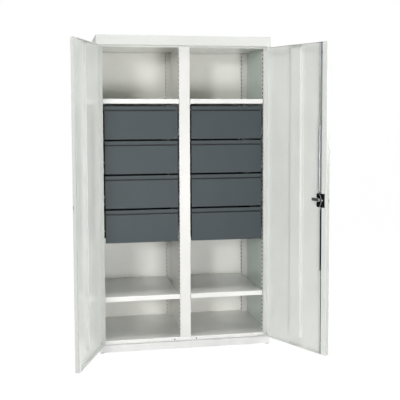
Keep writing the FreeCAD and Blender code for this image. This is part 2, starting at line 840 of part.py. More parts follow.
def latch_bolt():
    """The side bolt: a plate round the spindle, with a lug for its pin and a tail towards the hinge."""
    w = (bolt_depth, bolt_depth + bolt_gauge)
    tip = door_edge - bolt_tip_setback
    tail = lock_inset - lock_case_hinge_side - bolt_tail
    z = (lock_height - bolt_height / 2, lock_height + bolt_height / 2)
    plate = rounded(
        door_block(RIGHT, (tail, tip), w, z), bolt_tail_radius,
        lambda p: is_at(p.x, door_x(RIGHT, tail)) and not is_at(p.z, lock_height))
    pin_u = lock_inset - cam_pin_rest
    lug_half = yoke_half_slot + yoke_wall
    lug = door_block(RIGHT, (pin_u - lug_half, pin_u + lug_half), w, (
        lock_height, lock_height + cam_radius + lug_half))
    play = spindle_radius + bolt_hole_play
    way = door_block(
        RIGHT, (lock_inset - rod_travel - play, lock_inset + play), w,
        (lock_height - play, lock_height + play))
    return swung(joined([plate, lug]).cut([way, yoke_slot(pin_u, lock_height, w, False)]), RIGHT)


def escutcheon():
    """The round plate under the handle."""
    plate = door_pin(RIGHT, lock_inset, lock_height, escutcheon_radius, (-escutcheon_thickness, 0))
    plate = rounded(plate, escutcheon_round, lambda p: is_at(p.y, front_y - escutcheon_thickness))
    hole = door_pin(RIGHT, lock_inset, lock_height, spindle_radius + running_clearance, (
        -escutcheon_thickness - overrun, overrun))
    return swung(plate.cut(hole), RIGHT)


def twist_handle():
    """A bar across a hub, upright when the lock is open, with the spindle behind and the key in front."""
    hub_w = (-escutcheon_thickness - seat_gap, -escutcheon_thickness - handle_standoff)
    bar_w = (hub_w[1], hub_w[1] - handle_thickness)
    hub = door_pin(RIGHT, lock_inset, lock_height, handle_hub_radius, hub_w)
    half = handle_length / 2 - handle_width / 2
    bar = joined([
        door_block(RIGHT, (lock_inset - handle_width / 2, lock_inset + handle_width / 2), bar_w, (
            lock_height - half, lock_height + half)),
        door_pin(RIGHT, lock_inset, lock_height - half, handle_width / 2, bar_w),
        door_pin(RIGHT, lock_inset, lock_height + half, handle_width / 2, bar_w)])
    bar = rounded(bar, handle_round, lambda p: any(is_at(p.y, front_y + w) for w in bar_w))
    handle = joined([hub, bar])
    socket = door_pin(RIGHT, lock_inset, lock_height, spindle_radius + running_clearance, (
        -escutcheon_thickness - spindle_socket - seat_gap, overrun))
    seat = door_pin(RIGHT, lock_inset, lock_height, key_radius + running_clearance, (
        bar_w[1] - overrun, bar_w[1] + key_length + seat_gap))
    return swung(handle.cut([socket, seat]), RIGHT)


def key_cylinder():
    """The round plug of the lock, with a slit for the key."""
    face = -escutcheon_thickness - handle_standoff - handle_thickness - key_proud
    plug = door_pin(RIGHT, lock_inset, lock_height, key_radius, (face, face + key_proud + key_length))
    slit = door_block(
        RIGHT, (lock_inset - key_slit_width / 2, lock_inset + key_slit_width / 2),
        (face - overrun, face + key_slit_depth),
        (lock_height - key_slit_length / 2, lock_height + key_slit_length / 2))
    return swung(plug.cut(slit), RIGHT)


# Small fixed pieces


def glide_places():
    """The centres of the four pads, one near each corner."""
    inset = glide_radius + body_gauge
    return [(side * (half_width - inset), end * (back_y - inset))
            for side in (LEFT, RIGHT) for end in (LEFT, RIGHT)]


def floor_glides():
    """Round pads under the corners of the plinth, with holes for floor screws."""
    pads = []
    for x, y in glide_places():
        hole = rod_z(x, y, foot_hole_radius, (-overrun, glide_height + overrun))
        pads.append(rod_z(x, y, glide_radius, (0, glide_height)).cut(hole))
    return Part.makeCompound(pads)


def assembly_screws():
    """Screws and nuts that hold the side panels to the cap and to the plinth."""
    screws = []
    for x, y in screw_places():
        for head_z, nut_z, inward in (
                (side_flange_bottom, cap_bottom + body_gauge, -1),
                (side_flange_top, plinth_top - body_gauge, 1)):
            head = rod_z(x, y, screw_head_radius, (head_z, head_z + inward * screw_head_height))
            nut = rod_z(x, y, screw_head_radius, (nut_z, nut_z - inward * screw_nut_height))
            shank = rod_z(x, y, screw_radius, (head_z, nut_z))
            screws.append(joined([head, shank, nut]))
    return Part.makeCompound(screws)


def door_buffers():
    """Soft pads on the floor rail that stop the doors."""
    z = door_bottom + buffer_rise
    y = (jamb_y, front_y + door_thickness + slide_clearance)
    pads = [rod_y(side * buffer_spread, z, buffer_radius, y) for side in (LEFT, RIGHT)]
    return Part.makeCompound(pads)


def pieces():
    """Every named piece of the cupboard and its shape."""
    made = {
        "top_cap": top_cap(),
        "ceiling_panel": ceiling_panel(),
        "header_rails": header_rails(),
        "base_plinth": base_plinth(),
        "floor_panel": floor_panel(),
        "left_side_panel": side_panel(LEFT),
        "right_side_panel": side_panel(RIGHT),
        "back_panel": back_panel(),
        "centre_partition": centre_partition(),
        "left_front_post": front_side_post(LEFT),
        "right_front_post": front_side_post(RIGHT),
        "left_rear_post": rear_side_post(LEFT),
        "right_rear_post": rear_side_post(RIGHT),
        "centre_front_post": front_centre_post(),
        "centre_rear_post": rear_centre_post(),
        "shelf_clips": shelf_clips(),
        "floor_glides": floor_glides(),
        "assembly_screws": assembly_screws(),
        "door_buffers": door_buffers(),
        "hinge_washers": hinge_washers(),
        "closing_strip": closing_strip(),
        "lock_case": lock_case(),
        "lock_cam": lock_cam(),
        "upper_lock_rod": lock_rod(LEFT),
        "lower_lock_rod": lock_rod(RIGHT),
        "rod_guides": rod_guides(),
        "latch_bolt": latch_bolt(),
        "escutcheon": escutcheon(),
        "twist_handle": twist_handle(),
        "key_cylinder": key_cylinder(),
    }
    for side, word in ((LEFT, "left"), (RIGHT, "right")):
        made[word + "_door_panel"] = door_panel(side)
        made[word + "_door_stiffener"] = door_stiffener(side)
        made[word + "_hinge_pins"] = hinge_pins(side)
        made[word + "_upper_shelf"] = shelf(side, upper_shelf_z)
        made[word + "_lower_shelf"] = shelf(side, lower_shelf_z)
        made[word + "_runners"] = runners(side)
        for number in range(1, drawer_count + 1):
            made["%s_drawer_%d_front" % (word, number)] = drawer_front(side, number)
            made["%s_drawer_%d_tray" % (word, number)] = drawer_tray(side, number)
    return made


for node, shape in pieces().items():
    shape.exportStep("parts/" + node + ".step")
    print(node, "solids", len(shape.Solids), "volume", round(shape.Volume), "valid", shape.isValid())
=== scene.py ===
# %% [markdown]
# # A steel storage cupboard with two doors and eight drawers
# The cupboard's construction is already finished: every sheet, post, runner and lock part is imported as
# a fixed mesh, in metres, standing on the floor. This lesson dresses it. Each sheet gets the powder coat,
# zinc or moulded plastic that it has on the real object, and the small rounded pieces that folded sheet
# can't show, such as the drawers' rolled rims, the handle's grip and the lock's cover, are worked out as
# surfaces.

# %% Load the cupboard
import json
import math

import bmesh
import bpy
import numpy as np
from mathutils import Matrix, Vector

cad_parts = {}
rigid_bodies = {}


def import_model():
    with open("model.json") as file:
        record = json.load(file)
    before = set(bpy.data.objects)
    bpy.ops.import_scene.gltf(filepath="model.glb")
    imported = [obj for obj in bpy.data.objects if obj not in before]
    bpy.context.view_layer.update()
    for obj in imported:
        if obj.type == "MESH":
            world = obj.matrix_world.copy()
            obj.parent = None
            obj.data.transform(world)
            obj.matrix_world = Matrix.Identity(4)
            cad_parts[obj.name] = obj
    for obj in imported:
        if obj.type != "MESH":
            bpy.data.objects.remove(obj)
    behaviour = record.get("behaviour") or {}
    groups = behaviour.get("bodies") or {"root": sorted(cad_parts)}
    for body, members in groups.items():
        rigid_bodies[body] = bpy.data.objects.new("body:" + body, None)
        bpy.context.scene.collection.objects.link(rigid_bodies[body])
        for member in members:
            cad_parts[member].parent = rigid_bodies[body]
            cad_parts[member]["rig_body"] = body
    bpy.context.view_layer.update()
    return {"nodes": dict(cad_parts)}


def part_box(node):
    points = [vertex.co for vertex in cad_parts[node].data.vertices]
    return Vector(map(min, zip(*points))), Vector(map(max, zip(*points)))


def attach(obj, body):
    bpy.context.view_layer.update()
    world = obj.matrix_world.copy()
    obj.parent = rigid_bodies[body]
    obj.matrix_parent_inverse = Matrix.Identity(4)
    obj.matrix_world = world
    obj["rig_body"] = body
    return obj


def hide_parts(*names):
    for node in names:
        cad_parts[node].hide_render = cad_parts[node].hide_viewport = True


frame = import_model()
nodes = frame["nodes"]

# %% [markdown]
# ## The camera
# The cupboard is seen from the front, a little from the left and from chest height, with a long lens that
# keeps the uprights nearly parallel. The place and the three turns were found by matching the corners of
# the cupboard, so the numbers are written as they came out. The picture is slid down by a small shift, as a
# view camera does, so that the camera looks down by only four degrees and the uprights hardly lean.

# %% Camera
stand = (-0.7703, -4.7087, 1.3653)
aim = [math.radians(angle) for angle in (10.96, -4.15, -0.2)]
sensor_width, focal_length, slide = 36.0, 69.54, -0.068


def turned(yaw, pitch, roll):
    """Columns right, up and back of a camera that looks along +Y, turned by three angles in radians."""
    forward = np.array([math.sin(yaw) * math.cos(pitch), math.cos(yaw) * math.cos(pitch), math.sin(pitch)])
    right = np.array([math.cos(yaw), -math.sin(yaw), 0.0])
    up = np.cross(right, forward)
    level, tip = math.cos(roll), math.sin(roll)
    return np.column_stack([level * right + tip * up, level * up - tip * right, -forward])


camera_data = bpy.data.cameras.new("camera")
camera_data.sensor_width, camera_data.lens, camera_data.shift_y = sensor_width, focal_length, slide
camera = bpy.data.objects.new("camera", camera_data)
bpy.context.scene.collection.objects.link(camera)
camera.matrix_world = Matrix.Translation(stand) @ Matrix(turned(*aim).tolist()).to_4x4()
bpy.context.scene.camera = camera
print("camera at", [round(v, 3) for v in camera.location])

# %% [markdown]
# ## Writing shader maths as Python
# A finish is a small sum of masks: how near the edge, how much dust, how rough. Wired by hand that is a
# page of nodes, so one class wraps a socket and lets `+`, `-` and `*` add the Math nodes. Every other kind
# of node comes from its one method `node`, which sets the node's settings first and then its inputs.

# %% Shader values
class Value:
    """A shader socket that Python arithmetic works on."""

    def __init__(self, tree, socket=None):
        self.tree, self.socket = tree, socket

    def node(self, kind, settings=None, inputs=None, output=0):
        """Adds a node: settings are its properties, and inputs are its numbers or links."""
        made = self.tree.nodes.new("ShaderNode" + kind)
        for name, setting in (settings or {}).items():
            setattr(made, name, setting)
        for name, value in (inputs or {}).items():
            if isinstance(value, Value):
                self.tree.links.new(value.socket, made.inputs[name])
            else:
                made.inputs[name].default_value = value
        return Value(self.tree, made.outputs[output])

    def maths(self, operation, first, second=0.0):
        return self.node("Math", {"operation": operation}, {0: first, 1: second})

    def __add__(self, other):
        return self.maths("ADD", self, other)

    def __mul__(self, other):
        return self.maths("MULTIPLY", self, other)

    def __sub__(self, other):
        return self.maths("SUBTRACT", self, other)

    def __rsub__(self, other):
        return self.maths("SUBTRACT", other, self)

    def __abs__(self):
        return self.maths("ABSOLUTE", self)

    __radd__, __rmul__ = __add__, __mul__

    def least(self, other):
        return self.maths("MINIMUM", self, other)

    def most(self, other):
        return self.maths("MAXIMUM", self, other)

    def ramp(self, start, end, low=0.0, high=1.0):
        """Runs smoothly from low at start to high at end, and is flat outside."""
        return self.node("MapRange", {"interpolation_type": "SMOOTHSTEP"}, {
            "Value": self, "From Min": start, "From Max": end, "To Min": low, "To Max": high})

    def blend(self, below, above):
        """Mixes two colours, with this value as the share of the second."""
        return self.node("Mix", {"data_type": "RGBA"}, {0: self, 6: below, 7: above}, 2)


def rgb(*parts):
    """A colour as a socket takes it, with its fourth part."""
    return (*parts, 1.0)


def shaded(colour, share, lift=0.0):
    """A colour times a share, plus a little grey."""
    return rgb(*(min(1.0, part * share + lift) for part in colour))


print("Value ready")

# %% [markdown]
# ## Where a point lies on its sheet
# Paint is thinnest and knocks show first along the edges of a sheet. Each imported piece has a known box, so
# a point's distance from an edge can be worked out from its place alone: of the three distances to the
# box's faces, the smallest is the face that the point is on, and the middle one is the way to the nearest
# edge. The doors stand open at an angle, so their distances are measured along the door itself: across it
# from the hinge, through it from the outer face, and up.

# %% Places on a piece
# The closed doors' outer edge and front, the hinge pin's place in a door, and how far the doors stand open.
half_width, front_plane = 0.51, -0.295
hinge_inset, hinge_depth = 0.014, 0.007
opened = {"left": math.radians(-109.0), "right": math.radians(116.0)}
sign = {"left": -1.0, "right": 1.0}
upward = np.array([0.0, 0.0, 1.0])
door_of = {"left_door": "left", "right_door": "right", "upper_rod": "right", "lower_rod": "right",
           "bolt": "right", "handle": "right", "key": "right"}


def door_axes(side):
    """Hinge point, the way across the open door and the way out of its outer face, as arrays."""
    turn = opened[side]
    hinge = np.array([sign[side] * (half_width - hinge_inset), front_plane + hinge_depth, 0.0])
    spin = np.array([[math.cos(turn), -math.sin(turn), 0], [math.sin(turn), math.cos(turn), 0], [0, 0, 1]])
    return hinge, spin @ np.array([-sign[side], 0.0, 0.0]), spin @ np.array([0.0, -1.0, 0.0])


def on_door(side, across, depth, height):
    """Room points for distances across, through and up an open door; the three may be arrays."""
    hinge, along, outward = door_axes(side)
    across, depth, height = np.broadcast_arrays(across, depth, height)
    point = hinge + (across - hinge_inset)[..., None] * along + (hinge_depth - depth)[..., None] * outward
    return point + height[..., None] * upward


def points_of(node):
    """The corners of an imported mesh, as rows."""
    mesh = nodes[node].data
    flat = np.empty(len(mesh.vertices) * 3)
    mesh.vertices.foreach_get("co", flat)
    return flat.reshape(-1, 3)


def own_axes(node):
    """Origin and the three directions in which a piece is measured: those of its door, or the room's."""
    side = door_of.get(nodes[node]["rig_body"])
    return (*door_axes(side), upward) if side else (np.zeros(3), *np.eye(3))


def measures(start, node):
    """Three shader values for a point's place along the piece's own axes, with its box along them."""
    origin, *ways = own_axes(node)
    room = start.node("TexCoord", output="Object")
    reach = (points_of(node) - origin) @ np.array(ways).T
    shifted = start.node("VectorMath", {"operation": "SUBTRACT"}, {0: room, 1: tuple(origin)})
    spots = [start.node("VectorMath", {"operation": "DOT_PRODUCT"}, {0: shifted, 1: tuple(way)}, "Value")
             for way in ways]
    return room, spots, reach.min(0), reach.max(0)


def from_faces(spots, low, high):
    """The distances to the nearer of the box's two faces, along each of the three axes."""
    return [abs(abs(spot - (lo + hi) / 2) - (hi - lo) / 2) for spot, lo, hi in zip(spots, low, high)]


def from_edge(ways):
    """The distance to the nearest edge: the middle one of the three distances."""
    a, b, c = ways
    return a.least(b).most(a.most(b).least(c))


print("left door runs along", door_axes("left")[1].round(3), "right door", door_axes("right")[1].round(3))

# %% [markdown]
# ## Powder coat
# The sheets are sprayed with dry paint and baked, which leaves a skin about a tenth of a millimetre thick.
# It has a fine orange-peel ripple a few millimetres across and a slightly softer gloss where hands and
# cloths have been. On sharp folds it goes thin, which makes white paint greyer and dark paint paler, and near
# the floor it takes on some dust. One function makes this finish for any sheet, so that all sheets age alike:
# noise at several sizes gives the mottle, the ripple and the rubbed patches, and the distance from the edge
# gives the thin line along the folds. A large thin sheet is never quite flat, so the doors also get long
# shallow waves that run up the sheet, which show as faint streaks where one looks along them. Inside a
# folded post the coat is nearly black, as primer and painted shade: there the smallest of the three distances
# is more than the sheet is thick. A door's folded edges are painted greyer and a groove darker than the face,
# as painted shade. The white is one paint, written in a few near shades that make up for light which the
# lamps of this scene don't give.

# %% Powder coat
def principled(name):
    """A new material with its main shader, and a value to start expressions from."""
    material = bpy.data.materials.new(name)
    material.use_nodes = True
    return material, material.node_tree.nodes["Principled BSDF"], Value(material.node_tree)


def feed(shader, start, **inputs):
    """Links or sets the named sockets of a material's main shader."""
    for name, value in inputs.items():
        socket = shader.inputs[name.replace("_", " ")]
        if isinstance(value, Value):
            start.tree.links.new(value.socket, socket)
        else:
            socket.default_value = value


def noise(room, scale, detail=2.0, spread=None):
    """Soft noise between 0 and 1 with a number of bumps per metre."""
    vector = room
    if spread is not None:
        vector = room.node("VectorMath", {"operation": "MULTIPLY"}, {0: room, 1: spread})
    return room.node("TexNoise", {"noise_dimensions": "3D"}, {
        "Vector": vector, "Scale": scale, "Detail": detail, "Roughness": 0.5})


def bumped(height, strength, distance):
    """A normal from a height that runs from 0 to 1."""
    return height.node("Bump", None, {"Strength": strength, "Distance": distance, "Height": height})


# Metres over which a mask comes in: near a fold, near the floor, from a door's sides inwards, through its
# sheet, behind a drawer's front, and inside a post. The two reliefs are how high a bump of 1 stands.
near_fold, near_floor = (0.0022, 0.0002), (0.16, 0.0)
side_band, sheet_band = (0.0045, 0.0035), (0.0013, 0.0022)
behind_front, inside_post = (0.0007, 0.0018), (0.0005, 0.001)
# The colours of dust near the floor, of the painted shade behind a drawer's front, and of the primer and
# painted shade inside a post.
dust_colour, shadow, primer_and_shade = (0.42, 0.39, 0.34), (0.006, 0.007, 0.008), (0.018, 0.021, 0.02)
paint_relief, fine_relief = 0.0006, 0.0002


def powder_coat(name, node, colour, gloss, peel=0.06, grain=260.0, worn=0.25, dust=0.15, primer_and_shade_inside=False,
                waves=0.0, shine=0.5, painted_side_shade=None, painted_recess_shade=0.0):
    """Baked paint on one sheet: mottle, orange peel, rubbed gloss, thin edges and dust near the floor.
    The pair for a door's sides greys the faces folded up along its hinge side and leading side, as painted
    shade; the recess share paints shade on what lies behind a front, and inside a post the coat is primer and
    painted shade."""
    material, shader, start = principled(name)
    room, (across, through, up), low, high = measures(start, node)
    ways = from_faces((across, through, up), low, high)
    edge = from_edge(ways)
    mottle = noise(room, 5.0, 3.0)
    rubbed = noise(room, 14.0, 4.0, (1.0, 1.0, 0.35))
    ripple = noise(room, grain, 2.0)
    speck = noise(room, grain * 4.0, 1.0)
    base = mottle.ramp(0.3, 0.7).blend(shaded(colour, 0.975), shaded(colour, 1.015))
    thin = edge.ramp(*near_fold) * noise(room, 60.0, 3.0).ramp(0.35, 0.7) * worn
    base = thin.blend(base, shaded(colour, 0.72, 0.1))
    floor_dust = up.ramp(*near_floor) * rubbed.ramp(0.35, 0.75) * dust
    base = floor_dust.blend(base, rgb(*dust_colour))
    rough = rubbed.ramp(0.3, 0.75, gloss - 0.012, gloss + 0.018) + floor_dust * 0.6 + thin * 0.15
    if painted_side_shade:
        hinge_side, leading_side = painted_side_shade
        # Painted shade: the faces folded up along a door's hinge side and leading side are greyed.
        side_shade_mask = (across.ramp(*(low[0] + inset for inset in side_band)) * hinge_side
                  + across.ramp(*(high[0] - inset for inset in side_band)) * leading_side)
        side_shade_mask = side_shade_mask * through.ramp(*(low[1] + inset for inset in sheet_band))
        base = side_shade_mask.blend(base, shaded(colour, 0.5))
    if painted_recess_shade:
        # Painted shade: what lies behind a front's face is darkened to near black.
        base = (through.ramp(*(low[1] + inset for inset in behind_front)) * painted_recess_shade).blend(base, rgb(*shadow))
    if primer_and_shade_inside:
        # Primer and painted shade: the inside of a post is painted nearly black.
        base = ways[0].least(ways[1]).least(ways[2]).ramp(*inside_post).blend(base, rgb(*primer_and_shade))
    relief = ripple * 0.8 + speck * 0.2
    if waves:
        relief = relief + noise(room, 26.0, 3.0, (1.0, 1.0, 0.02)) * waves
    feed(shader, start, Base_Color=base, Roughness=rough, Specular_IOR_Level=shine,
         Normal=bumped(relief, peel, paint_relief))
    return material


def wear(node, material):
    """Puts a material in an imported piece's slot."""
    slots = nodes[node].data.materials
    slots.clear()
    slots.append(material)


# Painted light and shade: these are the one white paint, written lighter or darker for how the light falls on
# each sheet. The back walls, partition and ceiling are written lightest, the cap and rails darkest, and the
# sides greener, for painted shade and painted reflection inside the bays.
white_grey = (0.645, 0.653, 0.628)
post_white = (0.76, 0.755, 0.73)
shelf_white = (0.853, 0.853, 0.833)
door_white = (0.765, 0.781, 0.749)
plinth_white = (0.757, 0.757, 0.748)
side_white_painted_shade = (0.66, 0.755, 0.70)
back_white_painted_light = (0.945, 0.94, 0.89)
paint_of = {
    "door": door_white, "strip": door_white, "back": back_white_painted_light, "side": side_white_painted_shade, "plinth": plinth_white,
    "post": post_white, "partition": back_white_painted_light, "floor": shelf_white, "shelf": shelf_white,
    "cap": white_grey, "ceiling": back_white_painted_light, "rails": white_grey,
}
gloss_of = {"door": 0.2, "strip": 0.2, "back": 0.45, "shelf": 0.13, "floor": 0.16, "ceiling": 0.12}
plain_gloss, plain_shine, smooth_shine, door_waves = 0.34, 0.5, 0.9, 1.6
# Shares of painted shade on each door's hinge side and leading side.
painted_side_shade_of = {"left_door_panel": (0.3, 0.25), "right_door_panel": (0.3, 0.58)}
other_finish = ("clip", "glides", "buffers", "drawer")
for name in nodes:
    words = [word for word in paint_of if word in name]
    if words and not any(word in name for word in other_finish):
        word = "post" if "post" in name else words[0]
        wear(name, powder_coat(
            "paint_" + name, name, paint_of[word], gloss_of.get(word, plain_gloss), primer_and_shade_inside=word == "post",
            shine=smooth_shine if word in ("shelf", "floor", "ceiling") else plain_shine,
            waves=door_waves if name.endswith("door_panel") else 0.0, painted_side_shade=painted_side_shade_of.get(name)))
print("painted", len(bpy.data.materials))

# %% [markdown]
# ## The drawers' dark coat
# The drawers are coated in a dark slate grey with a fine sand texture, which scatters light and hides
# finger marks. The same paint function serves, with a finer and deeper grain and less gloss. What lies behind
# the face of a front, such as its groove and its turned-in sides, is painted nearly black, as painted shade.

# %% Drawer coat
# The fronts' share of painted shade behind their face.
slate, front_painted_shade = (0.0385, 0.052, 0.0575), 0.97
for name in nodes:
    if "drawer" in name:
        wear(name, powder_coat(
            "coat_" + name, name, slate, gloss=0.46, peel=0.25, grain=900.0, worn=0.35, dust=0.0, shine=0.3,
            painted_recess_shade=front_painted_shade if name.endswith("front") else 0.0))
print("drawers coated")

# %% [markdown]
# ## Zinc, oiled steel, plastic and rubber
# Runners, clips, pins and the upper rod are zinc plated: a bright, slightly bluish metal with a soft cloudy
# spangle. The lower rod is near black, and the side bolt is dark oiled steel whose green-grey is partly
# painted shade. The lock's cover and the handle are moulded black plastic with a fine spark-eroded grain, and
# the pads are black rubber, which is duller and greyer. Oil, the near-black coat and primer hide the metal's
# own shine, so they are made as the plastic is.

# %% Metals
def plated(name, colour, rough, brush=(1.0, 1.0, 0.04)):
    """Plated or rolled steel: cloudy spangle, and fine lines drawn along the length."""
    material, shader, start = principled(name)
    room = start.node("TexCoord", output="Object")
    spangle = noise(room, 30.0, 4.0)
    lines = noise(room, 700.0, 2.0, brush)
    dull = noise(room, 9.0, 3.0).ramp(0.4, 0.75)
    base = spangle.ramp(0.3, 0.7).blend(shaded(colour, 0.86), rgb(*colour))
    base = (dull * 0.25).blend(base, shaded(colour, 0.6))
    feed(shader, start, Base_Color=base, Metallic=1.0,
         Roughness=lines.ramp(0.3, 0.7, rough - 0.05, rough + 0.07) + dull * 0.1,
         Normal=bumped(lines, 0.05, fine_relief))
    return material


def moulded(name, colour, rough, grain=1400.0, depth=0.25, shine=0.5):
    """Plastic or rubber from a grained mould, a little paler where it is rubbed."""
    material, shader, start = principled(name)
    room = start.node("TexCoord", output="Object")
    skin = noise(room, grain, 2.0)
    rubbed = noise(room, 45.0, 3.0).ramp(0.45, 0.75)
    base = (rubbed * 0.35).blend(rgb(*colour), shaded(colour, 1.8, 0.01 * shine))
    feed(shader, start, Base_Color=base, Specular_IOR_Level=shine,
         Roughness=rubbed * -0.08 + skin.ramp(0.3, 0.7, rough - 0.04, rough + 0.06),
         Normal=bumped(skin, depth, fine_relief))
    return material


zinc_colour = (0.66, 0.66, 0.69)
zinc = plated("zinc", zinc_colour, 0.34)
zinc_along = plated("zinc_along_depth", zinc_colour, 0.34, brush=(1.0, 0.04, 1.0))
# Dark oiled steel, its green-grey partly painted shade.
oiled_steel_and_shade = moulded("oiled_steel_painted_shade", (0.05, 0.062, 0.058), 0.34, grain=700.0, depth=0.1)
near_black = moulded("near_black_steel", (0.007, 0.008, 0.013), 0.42, grain=700.0, depth=0.1, shine=0.2)
# Near-black primer, which also stands for painted shade in the posts.
primer_and_shade_coat = moulded("dark_primer_and_shade", primer_and_shade, 0.6, grain=900.0)
bright = plated("bright_plug", (0.78, 0.77, 0.74), 0.22)
black = moulded("black_plastic", (0.003, 0.003, 0.0035), 0.3, shine=0.08)
rubber = moulded("black_rubber", (0.025, 0.025, 0.026), 0.7, grain=500.0)
finish_of = {
    "shelf_clips": zinc, "left_runners": zinc_along, "right_runners": zinc_along, "rod_guides": zinc,
    "upper_lock_rod": zinc, "assembly_screws": zinc, "hinge_washers": zinc, "left_hinge_pins": zinc,
    "right_hinge_pins": zinc, "lock_cam": zinc, "lower_lock_rod": near_black, "latch_bolt": oiled_steel_and_shade,
    "lock_case": black, "escutcheon": black, "twist_handle": black, "key_cylinder": bright,
    "floor_glides": rubber, "door_buffers": rubber,
}
for name, material in finish_of.items():
    wear(name, material)
print("metal and plastic on", len(finish_of))

# %% [markdown]
# ## Surfaces from arrays
# Most of the rounded pieces are one of two shapes. A turned piece is a profile of radius and height spun
# about an axis. A drawn piece is a small section carried along a path, as a wire or a rolled rim is. The
# others have a formula of their own, given where each is made. All come out as a grid of points, worked out
# in one go with numpy, and one function joins the grid into faces. It can close the grid either way round
# and fill its two ends, merges what meets at a pole, and then turns every face outwards.

# %% Grids into meshes
def surface(name, grid, material, around=False, along=False, smooth=True, capped=False):
    """A mesh from a grid of points, rows by columns by three; a closed way joins its last line to its
    first. Capped, its first and last rows are filled with one flat face each."""
    rows, columns = grid.shape[:2]
    index = np.arange(rows * columns).reshape(rows, columns)
    if around:
        index = np.column_stack([index, index[:, :1]])
    if along:
        index = np.vstack([index, index[:1]])
    quads = np.stack([index[:-1, :-1], index[:-1, 1:], index[1:, 1:], index[1:, :-1]], -1).reshape(-1, 4)
    caps = [list(range(columns)), list(range((rows - 1) * columns, rows * columns))] if capped else []
    mesh = bpy.data.meshes.new(name)
    mesh.from_pydata(grid.reshape(-1, 3).tolist(), [], quads.tolist() + caps)
    shell = bmesh.new()
    shell.from_mesh(mesh)
    bmesh.ops.remove_doubles(shell, verts=shell.verts, dist=1e-6)
    bmesh.ops.recalc_face_normals(shell, faces=shell.faces)
    shell.to_mesh(mesh)
    shell.free()
    mesh.polygons.foreach_set("use_smooth", [smooth] * len(mesh.polygons))
    mesh.materials.append(material)
    made = bpy.data.objects.new(name, mesh)
    bpy.context.scene.collection.objects.link(made)
    return made


def square_to(axis):
    """Two directions at right angles to an axis and to each other."""
    axis = np.asarray(axis, float)
    helper = upward if abs(axis[2]) < 0.9 else np.array([1.0, 0.0, 0.0])  # any way well off the axis
    first = np.cross(helper, axis)
    first = first / np.linalg.norm(first)
    return first, np.cross(axis, first)


def turned_piece(centre, axis, profile, sides=32):
    """Spins (radius, height) pairs: a point is centre + height * axis + radius * (cos, sin) across it."""
    radius, height = np.array(profile, float).T[:, :, None, None]
    angle = np.linspace(0, 2 * math.pi, sides, endpoint=False)[None, :, None]
    first, second = square_to(axis)
    return centre + height * np.asarray(axis) + radius * (np.cos(angle) * first + np.sin(angle) * second)


def drawn_piece(path, radius, sides=10, closed=False):
    """Carries a circle along a path; its plane stands square to the chord between the neighbouring points."""
    ahead = np.roll(path, -1, 0) - np.roll(path, 1, 0) if closed else np.gradient(path, axis=0)
    ahead = ahead / np.linalg.norm(ahead, axis=1, keepdims=True)
    flat = np.cross(ahead, upward if closed else square_to(ahead[0])[0])
    flat = flat / np.linalg.norm(flat, axis=1, keepdims=True)
    angle = np.linspace(0, 2 * math.pi, sides, endpoint=False)[None, :, None]
    round_it = np.cos(angle) * flat[:, None] + np.sin(angle) * np.cross(flat, ahead)[:, None]
    return path[:, None] + np.reshape(radius, (-1, 1, 1)) * round_it


def place(piece, body, slot, *replaced):
    """Makes a piece ride on a body and hides the solids that it stands for; the slot is not used."""
    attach(piece, body)
    if replaced:
        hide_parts(*replaced)
    print(piece.name, "on", body, len(piece.data.polygons), "faces")


print("surface helpers ready")

# %% [markdown]
# ## The twist handle
# The handle is a moulded grip that a hand closes round. A plain bar would look sawn off, so the grip's
# section is a soft rounded rectangle whose width and thickness change along its length: full over the hub,
# waisted beside it and swelling a little before the rounded ends. It stands on a flared neck, and a turned
# metal collar frames the key plug. Under it lies a stepped rosette that covers the hole in the door.

# %% Handle, neck, rosette and collar
lock_across, lock_height = 0.454, 0.905
outward = door_axes("right")[2]
spindle = on_door("right", lock_across, 0.0, lock_height)


def grip(length=0.045, stand_off=0.0305, bow=0.0012, squareness=0.62, rows=49, columns=40):
    """A lofted bar: half width and half thickness follow smooth curves of the share t from end to end,
    with one bell curve at the hub and one before each rounded end."""
    t = np.sin(np.linspace(-math.pi / 2, math.pi / 2, rows))[:, None]
    angle = np.linspace(0, 2 * math.pi, columns, endpoint=False)[None, :]
    ends = (1 - np.abs(t) ** 7) ** 0.5
    hub = np.exp(-(t / 0.3) ** 2)
    swell = np.exp(-((np.abs(t) - 0.72) / 0.25) ** 2)
    wide = ends * (0.0066 + 0.0024 * hub + 0.0014 * swell)
    thick = ends * (0.0050 + 0.0015 * hub + 0.0006 * swell)
    c, s = np.cos(angle), np.sin(angle)
    u = lock_across + wide * np.sign(c) * np.abs(c) ** squareness
    w = -stand_off + bow * t ** 2 * (1 - hub) + thick * np.sign(s) * np.abs(s) ** squareness
    return on_door("right", u, w, lock_height + length * t)


# Profiles are pairs of radius and height off the door.
neck = [(0, 0.0063), (0.0118, 0.0063), (0.0128, 0.0068), (0.013, 0.0078), (0.0124, 0.0095), (0.0108, 0.013),
        (0.0096, 0.0175), (0.0092, 0.022), (0.0094, 0.0262), (0, 0.028)]
rosette = [(0.0037, 0.0001), (0.026, 0.0001), (0.026, 0.0024), (0.0257, 0.003), (0.0248, 0.0032),
           (0.0246, 0.0038), (0.0243, 0.0046), (0.0232, 0.0054), (0.021, 0.0059), (0.0165, 0.006),
           (0.0152, 0.0056), (0.0144, 0.0056), (0.0136, 0.006), (0.0037, 0.006)]
collar = [(0.0063, 0.0355), (0.0084, 0.0355), (0.0084, 0.0363), (0.0079, 0.037), (0.007, 0.0372),
          (0.0063, 0.0368)]
place(surface("handle_grip", grip(), black, around=True), "handle", "black_plastic", "twist_handle")
place(surface("handle_neck", turned_piece(spindle, outward, neck), black, around=True),
      "handle", "black_plastic")
place(surface("rosette", turned_piece(spindle, outward, rosette, 48), black, around=True, along=True),
      "right_door", "black_plastic", "escutcheon")
